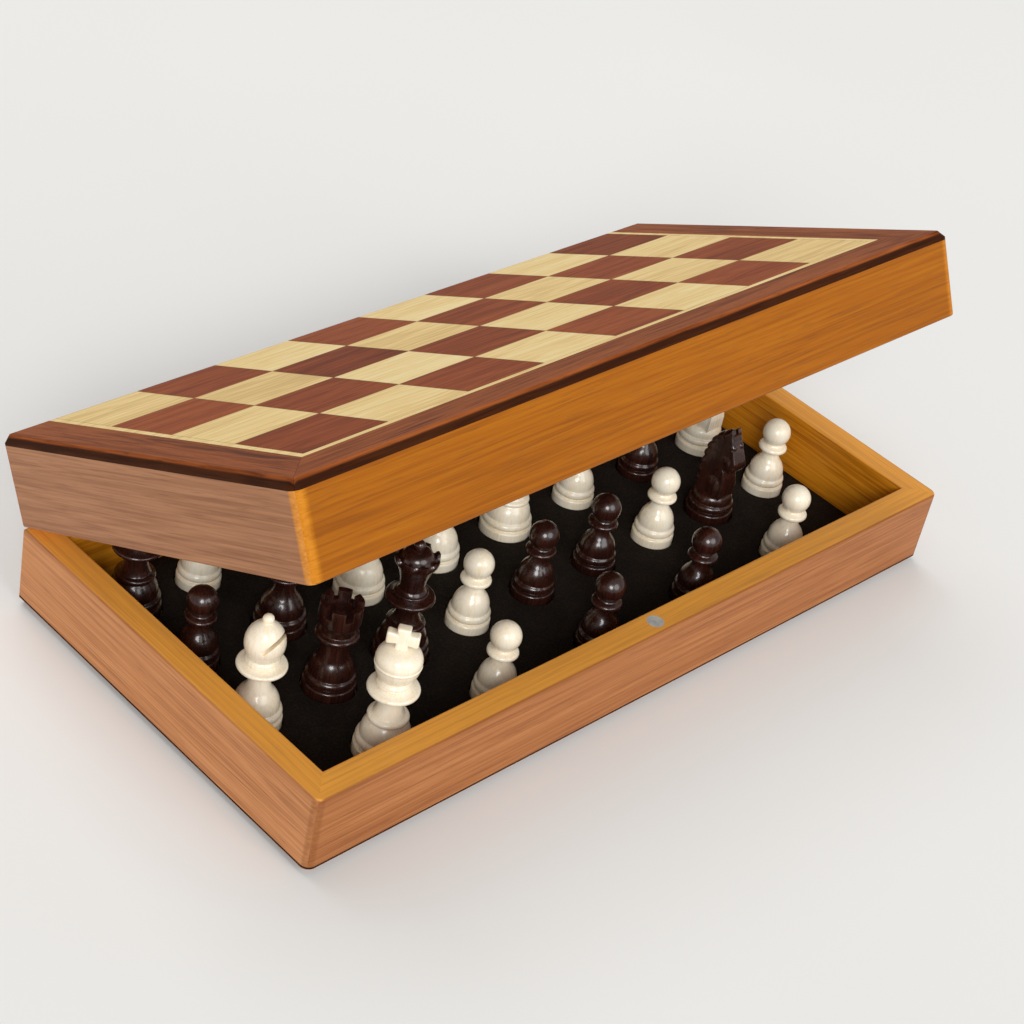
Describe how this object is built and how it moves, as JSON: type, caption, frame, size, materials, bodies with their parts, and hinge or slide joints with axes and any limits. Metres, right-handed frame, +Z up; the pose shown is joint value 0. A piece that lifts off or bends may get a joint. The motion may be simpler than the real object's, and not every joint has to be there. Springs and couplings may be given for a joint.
{
  "type": "folding chess board",
  "caption": "Wooden folding chess case: two hinged board halves with inlaid squares, magnet closure, socket foam and turned chess pieces that lift out.",
  "frame": {"origin": "middle of the tray's underside, which is the lower half of the board", "axes": "+X along the hinge, +Y from the front edge to the hinge edge, +Z up"},
  "size_m": [0.3, 0.1643, 0.1267],
  "materials": {
    "wall_wood": "honey varnish",
    "panel_ply": "bare plywood",
    "border_wood": "reddish brown varnish",
    "maple_veneer": "pale varnished veneer",
    "mahogany_veneer": "varnished veneer",
    "magnet_steel": "nickel plated",
    "hinge_brass": "bright",
    "black_foam": "flocked foam",
    "black_felt": "felt",
    "light_piece_wood": "lacquered",
    "dark_piece_wood": "lacquered"
  },
  "bodies": {
    "tray": {"tray_front_wall": "wall_wood", "tray_back_wall": "wall_wood", "tray_left_wall": "wall_wood", "tray_right_wall": "wall_wood", "tray_panel": "panel_ply", "tray_border": "border_wood", "tray_stringing": "maple_veneer", "tray_light_squares": "maple_veneer", "tray_dark_squares": "mahogany_veneer", "tray_magnet": "magnet_steel", "tray_hinge_leaves": "hinge_brass", "tray_hinge_screws": "hinge_brass", "hinge_pins": "hinge_brass", "socket_foam": "black_foam"},
    "lid": {"lid_front_wall": "wall_wood", "lid_back_wall": "wall_wood", "lid_left_wall": "wall_wood", "lid_right_wall": "wall_wood", "lid_panel": "panel_ply", "lid_border": "border_wood", "lid_stringing": "maple_veneer", "lid_light_squares": "maple_veneer", "lid_dark_squares": "mahogany_veneer", "lid_magnet": "magnet_steel", "lid_hinge_leaves": "hinge_brass", "lid_hinge_screws": "hinge_brass", "lid_felt": "black_felt"},
    "white_king": {"white_king": "light_piece_wood"},
    "white_queen": {"white_queen": "light_piece_wood"},
    "white_bishop_1": {"white_bishop_1": "light_piece_wood"},
    "white_bishop_2": {"white_bishop_2": "light_piece_wood"},
    "white_knight_1": {"white_knight_1": "light_piece_wood"},
    "white_knight_2": {"white_knight_2": "light_piece_wood"},
    "white_rook_1": {"white_rook_1": "light_piece_wood"},
    "white_rook_2": {"white_rook_2": "light_piece_wood"},
    "white_pawn_1": {"white_pawn_1": "light_piece_wood"},
    "white_pawn_2": {"white_pawn_2": "light_piece_wood"},
    "white_pawn_3": {"white_pawn_3": "light_piece_wood"},
    "white_pawn_4": {"white_pawn_4": "light_piece_wood"},
    "white_pawn_5": {"white_pawn_5": "light_piece_wood"},
    "white_pawn_6": {"white_pawn_6": "light_piece_wood"},
    "white_pawn_7": {"white_pawn_7": "light_piece_wood"},
    "white_pawn_8": {"white_pawn_8": "light_piece_wood"},
    "dark_king": {"dark_king": "dark_piece_wood"},
    "dark_queen": {"dark_queen": "dark_piece_wood"},
    "dark_bishop_1": {"dark_bishop_1": "dark_piece_wood"},
    "dark_bishop_2": {"dark_bishop_2": "dark_piece_wood"},
    "dark_knight_1": {"dark_knight_1": "dark_piece_wood"},
    "dark_knight_2": {"dark_knight_2": "dark_piece_wood"},
    "dark_rook_1": {"dark_rook_1": "dark_piece_wood"},
    "dark_rook_2": {"dark_rook_2": "dark_piece_wood"},
    "dark_pawn_1": {"dark_pawn_1": "dark_piece_wood"},
    "dark_pawn_2": {"dark_pawn_2": "dark_piece_wood"},
    "dark_pawn_3": {"dark_pawn_3": "dark_piece_wood"},
    "dark_pawn_4": {"dark_pawn_4": "dark_piece_wood"},
    "dark_pawn_5": {"dark_pawn_5": "dark_piece_wood"},
    "dark_pawn_6": {"dark_pawn_6": "dark_piece_wood"},
    "dark_pawn_7": {"dark_pawn_7": "dark_piece_wood"},
    "dark_pawn_8": {"dark_pawn_8": "dark_piece_wood"}
  },
  "joints": [
    {"name": "lid_hinge", "type": "hinge", "parent": "tray", "child": "lid", "pos_m": [0, 0.07515, 0.0311], "axis": [-1, 0, 0], "range_deg": [-27.4, 152.6]},
    {"name": "white_king_lift", "type": "slide", "parent": "tray", "child": "white_king", "axis": [0, 0, 1], "range_m": [0, 0.01]},
    {"name": "white_queen_lift", "type": "slide", "parent": "tray", "child": "white_queen", "axis": [0, 0, 1], "range_m": [0, 0.01]},
    {"name": "white_bishop_1_lift", "type": "slide", "parent": "tray", "child": "white_bishop_1", "axis": [0, 0, 1], "range_m": [0, 0.01]},
    {"name": "white_bishop_2_lift", "type": "slide", "parent": "tray", "child": "white_bishop_2", "axis": [0, 0, 1], "range_m": [0, 0.01]},
    {"name": "white_knight_1_lift", "type": "slide", "parent": "tray", "child": "white_knight_1", "axis": [0, 0, 1], "range_m": [0, 0.01]},
    {"name": "white_knight_2_lift", "type": "slide", "parent": "tray", "child": "white_knight_2", "axis": [0, 0, 1], "range_m": [0, 0.01]},
    {"name": "white_rook_1_lift", "type": "slide", "parent": "tray", "child": "white_rook_1", "axis": [0, 0, 1], "range_m": [0, 0.01]},
    {"name": "white_rook_2_lift", "type": "slide", "parent": "tray", "child": "white_rook_2", "axis": [0, 0, 1], "range_m": [0, 0.01]},
    {"name": "white_pawn_1_lift", "type": "slide", "parent": "tray", "child": "white_pawn_1", "axis": [0, 0, 1], "range_m": [0, 0.01]},
    {"name": "white_pawn_2_lift", "type": "slide", "parent": "tray", "child": "white_pawn_2", "axis": [0, 0, 1], "range_m": [0, 0.01]},
    {"name": "white_pawn_3_lift", "type": "slide", "parent": "tray", "child": "white_pawn_3", "axis": [0, 0, 1], "range_m": [0, 0.01]},
    {"name": "white_pawn_4_lift", "type": "slide", "parent": "tray", "child": "white_pawn_4", "axis": [0, 0, 1], "range_m": [0, 0.01]},
    {"name": "white_pawn_5_lift", "type": "slide", "parent": "tray", "child": "white_pawn_5", "axis": [0, 0, 1], "range_m": [0, 0.01]},
    {"name": "white_pawn_6_lift", "type": "slide", "parent": "tray", "child": "white_pawn_6", "axis": [0, 0, 1], "range_m": [0, 0.01]},
    {"name": "white_pawn_7_lift", "type": "slide", "parent": "tray", "child": "white_pawn_7", "axis": [0, 0, 1], "range_m": [0, 0.01]},
    {"name": "white_pawn_8_lift", "type": "slide", "parent": "tray", "child": "white_pawn_8", "axis": [0, 0, 1], "range_m": [0, 0.01]},
    {"name": "dark_king_lift", "type": "slide", "parent": "tray", "child": "dark_king", "axis": [0, 0, 1], "range_m": [0, 0.01]},
    {"name": "dark_queen_lift", "type": "slide", "parent": "tray", "child": "dark_queen", "axis": [0, 0, 1], "range_m": [0, 0.01]},
    {"name": "dark_bishop_1_lift", "type": "slide", "parent": "tray", "child": "dark_bishop_1", "axis": [0, 0, 1], "range_m": [0, 0.01]},
    {"name": "dark_bishop_2_lift", "type": "slide", "parent": "tray", "child": "dark_bishop_2", "axis": [0, 0, 1], "range_m": [0, 0.01]},
    {"name": "dark_knight_1_lift", "type": "slide", "parent": "tray", "child": "dark_knight_1", "axis": [0, 0, 1], "range_m": [0, 0.01]},
    {"name": "dark_knight_2_lift", "type": "slide", "parent": "tray", "child": "dark_knight_2", "axis": [0, 0, 1], "range_m": [0, 0.01]},
    {"name": "dark_rook_1_lift", "type": "slide", "parent": "tray", "child": "dark_rook_1", "axis": [0, 0, 1], "range_m": [0, 0.01]},
    {"name": "dark_rook_2_lift", "type": "slide", "parent": "tray", "child": "dark_rook_2", "axis": [0, 0, 1], "range_m": [0, 0.01]},
    {"name": "dark_pawn_1_lift", "type": "slide", "parent": "tray", "child": "dark_pawn_1", "axis": [0, 0, 1], "range_m": [0, 0.01]},
    {"name": "dark_pawn_2_lift", "type": "slide", "parent": "tray", "child": "dark_pawn_2", "axis": [0, 0, 1], "range_m": [0, 0.01]},
    {"name": "dark_pawn_3_lift", "type": "slide", "parent": "tray", "child": "dark_pawn_3", "axis": [0, 0, 1], "range_m": [0, 0.01]},
    {"name": "dark_pawn_4_lift", "type": "slide", "parent": "tray", "child": "dark_pawn_4", "axis": [0, 0, 1], "range_m": [0, 0.01]},
    {"name": "dark_pawn_5_lift", "type": "slide", "parent": "tray", "child": "dark_pawn_5", "axis": [0, 0, 1], "range_m": [0, 0.01]},
    {"name": "dark_pawn_6_lift", "type": "slide", "parent": "tray", "child": "dark_pawn_6", "axis": [0, 0, 1], "range_m": [0, 0.01]},
    {"name": "dark_pawn_7_lift", "type": "slide", "parent": "tray", "child": "dark_pawn_7", "axis": [0, 0, 1], "range_m": [0, 0.01]},
    {"name": "dark_pawn_8_lift", "type": "slide", "parent": "tray", "child": "dark_pawn_8", "axis": [0, 0, 1], "range_m": [0, 0.01]}
  ]
}
